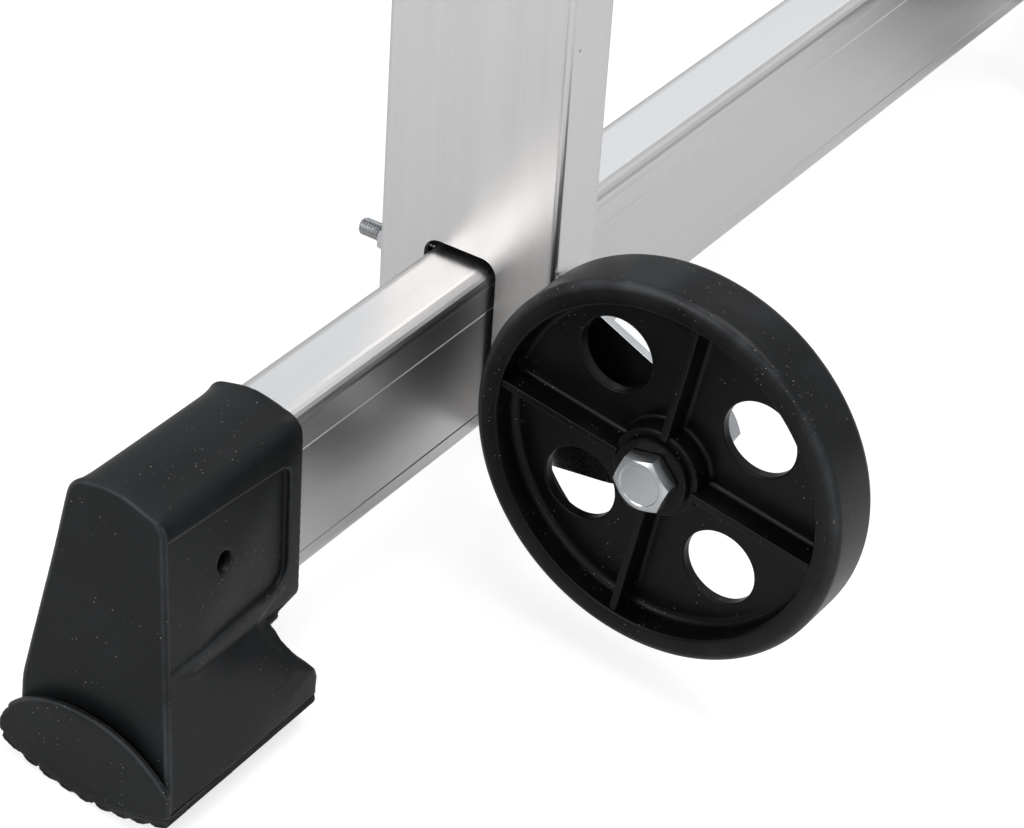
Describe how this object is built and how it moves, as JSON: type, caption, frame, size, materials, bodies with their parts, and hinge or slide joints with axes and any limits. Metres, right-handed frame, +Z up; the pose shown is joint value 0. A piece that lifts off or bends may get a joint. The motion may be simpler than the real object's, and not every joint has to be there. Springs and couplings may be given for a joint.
{
  "type": "folding work platform",
  "caption": "Low aluminium work platform: a ribbed deck on ladder leg frames that fold in under it, with rocker feet on base bars and wheels at one end.",
  "frame": {"origin": "on the floor, at the centre of the outline of the standing platform", "axes": "+X along the base bars, +Y along the deck away from the wheels, +Z up"},
  "size_m": [0.764, 1.7471, 0.8],
  "materials": {
    "aluminium_section": "satin mill finish",
    "aluminium_deck": "satin ribbed section",
    "zinc_steel": "bright zinc plate",
    "black_plastic": "fine grained",
    "black_rubber": "matt",
    "wheel_plastic": "fine grained",
    "spring_steel": "bright"
  },
  "bodies": {
    "deck": {"deck_rail_left": "aluminium_section", "deck_rail_right": "aluminium_section", "deck_end_member_near": "aluminium_section", "deck_end_member_far": "aluminium_section", "deck_crossbars": "aluminium_section", "deck_plank_1": "aluminium_deck", "deck_plank_2": "aluminium_deck", "deck_plank_3": "aluminium_deck", "deck_plank_4": "aluminium_deck", "plank_rivets": "aluminium_deck", "rail_caps": "black_plastic", "hinge_plates_outer": "zinc_steel", "hinge_plates_inner": "zinc_steel", "hinge_bolts": "zinc_steel", "hinge_nuts": "zinc_steel", "stop_sleeves": "zinc_steel", "pivot_bolts": "zinc_steel", "pivot_nuts": "zinc_steel", "lock_housings": "zinc_steel", "lock_springs": "spring_steel"},
    "near_leg_frame": {"near_stile_left": "aluminium_section", "near_stile_right": "aluminium_section", "near_rung_lower": "aluminium_section", "near_rung_upper": "aluminium_section", "near_base_bar": "aluminium_section", "near_foot_left": "black_plastic", "near_foot_right": "black_plastic", "near_treads": "black_rubber", "near_stile_caps": "black_plastic", "near_stile_plugs": "black_plastic", "near_pivot_bushes": "black_plastic", "near_bar_bolts": "zinc_steel", "near_bar_nuts": "zinc_steel", "wheel_bracket_left": "zinc_steel", "wheel_bracket_right": "zinc_steel", "wheel_bushes": "wheel_plastic", "axle_bolts": "zinc_steel", "axle_nuts": "zinc_steel", "bracket_rivets": "zinc_steel"},
    "far_leg_frame": {"far_stile_left": "aluminium_section", "far_stile_right": "aluminium_section", "far_rung_lower": "aluminium_section", "far_rung_upper": "aluminium_section", "far_base_bar": "aluminium_section", "far_foot_left": "black_plastic", "far_foot_right": "black_plastic", "far_treads": "black_rubber", "far_stile_caps": "black_plastic", "far_stile_plugs": "black_plastic", "far_pivot_bushes": "black_plastic", "far_bar_bolts": "zinc_steel", "far_bar_nuts": "zinc_steel"},
    "left_wheel": {"wheel_left": "wheel_plastic"},
    "right_wheel": {"wheel_right": "wheel_plastic"},
    "lock_near_left": {"lock_pin_near_left": "zinc_steel"},
    "lock_near_right": {"lock_pin_near_right": "zinc_steel"},
    "lock_far_left": {"lock_pin_far_left": "zinc_steel"},
    "lock_far_right": {"lock_pin_far_right": "zinc_steel"}
  },
  "joints": [
    {"name": "near_leg_fold", "type": "hinge", "parent": "deck", "child": "near_leg_frame", "pos_m": [0, -0.6374, 0.68], "axis": [1, 0, 0], "range_deg": [0, 98]},
    {"name": "far_leg_fold", "type": "hinge", "parent": "deck", "child": "far_leg_frame", "pos_m": [0, 0.7506, 0.68], "axis": [-1, 0, 0], "range_deg": [0, 98]},
    {"name": "left_wheel_spin", "type": "hinge", "parent": "near_leg_frame", "child": "left_wheel", "pos_m": [-0.199, -0.80945, 0.07949], "axis": [1, 0, 0], "continuous": true},
    {"name": "right_wheel_spin", "type": "hinge", "parent": "near_leg_frame", "child": "right_wheel", "pos_m": [0.199, -0.80945, 0.07949], "axis": [1, 0, 0], "continuous": true},
    {"name": "lock_near_left_push", "type": "slide", "parent": "deck", "child": "lock_near_left", "axis": [1, 0, 0], "range_m": [0, 0.012]},
    {"name": "lock_near_right_push", "type": "slide", "parent": "deck", "child": "lock_near_right", "axis": [-1, 0, 0], "range_m": [0, 0.012]},
    {"name": "lock_far_left_push", "type": "slide", "parent": "deck", "child": "lock_far_left", "axis": [1, 0, 0], "range_m": [0, 0.012]},
    {"name": "lock_far_right_push", "type": "slide", "parent": "deck", "child": "lock_far_right", "axis": [-1, 0, 0], "range_m": [0, 0.012]}
  ]
}
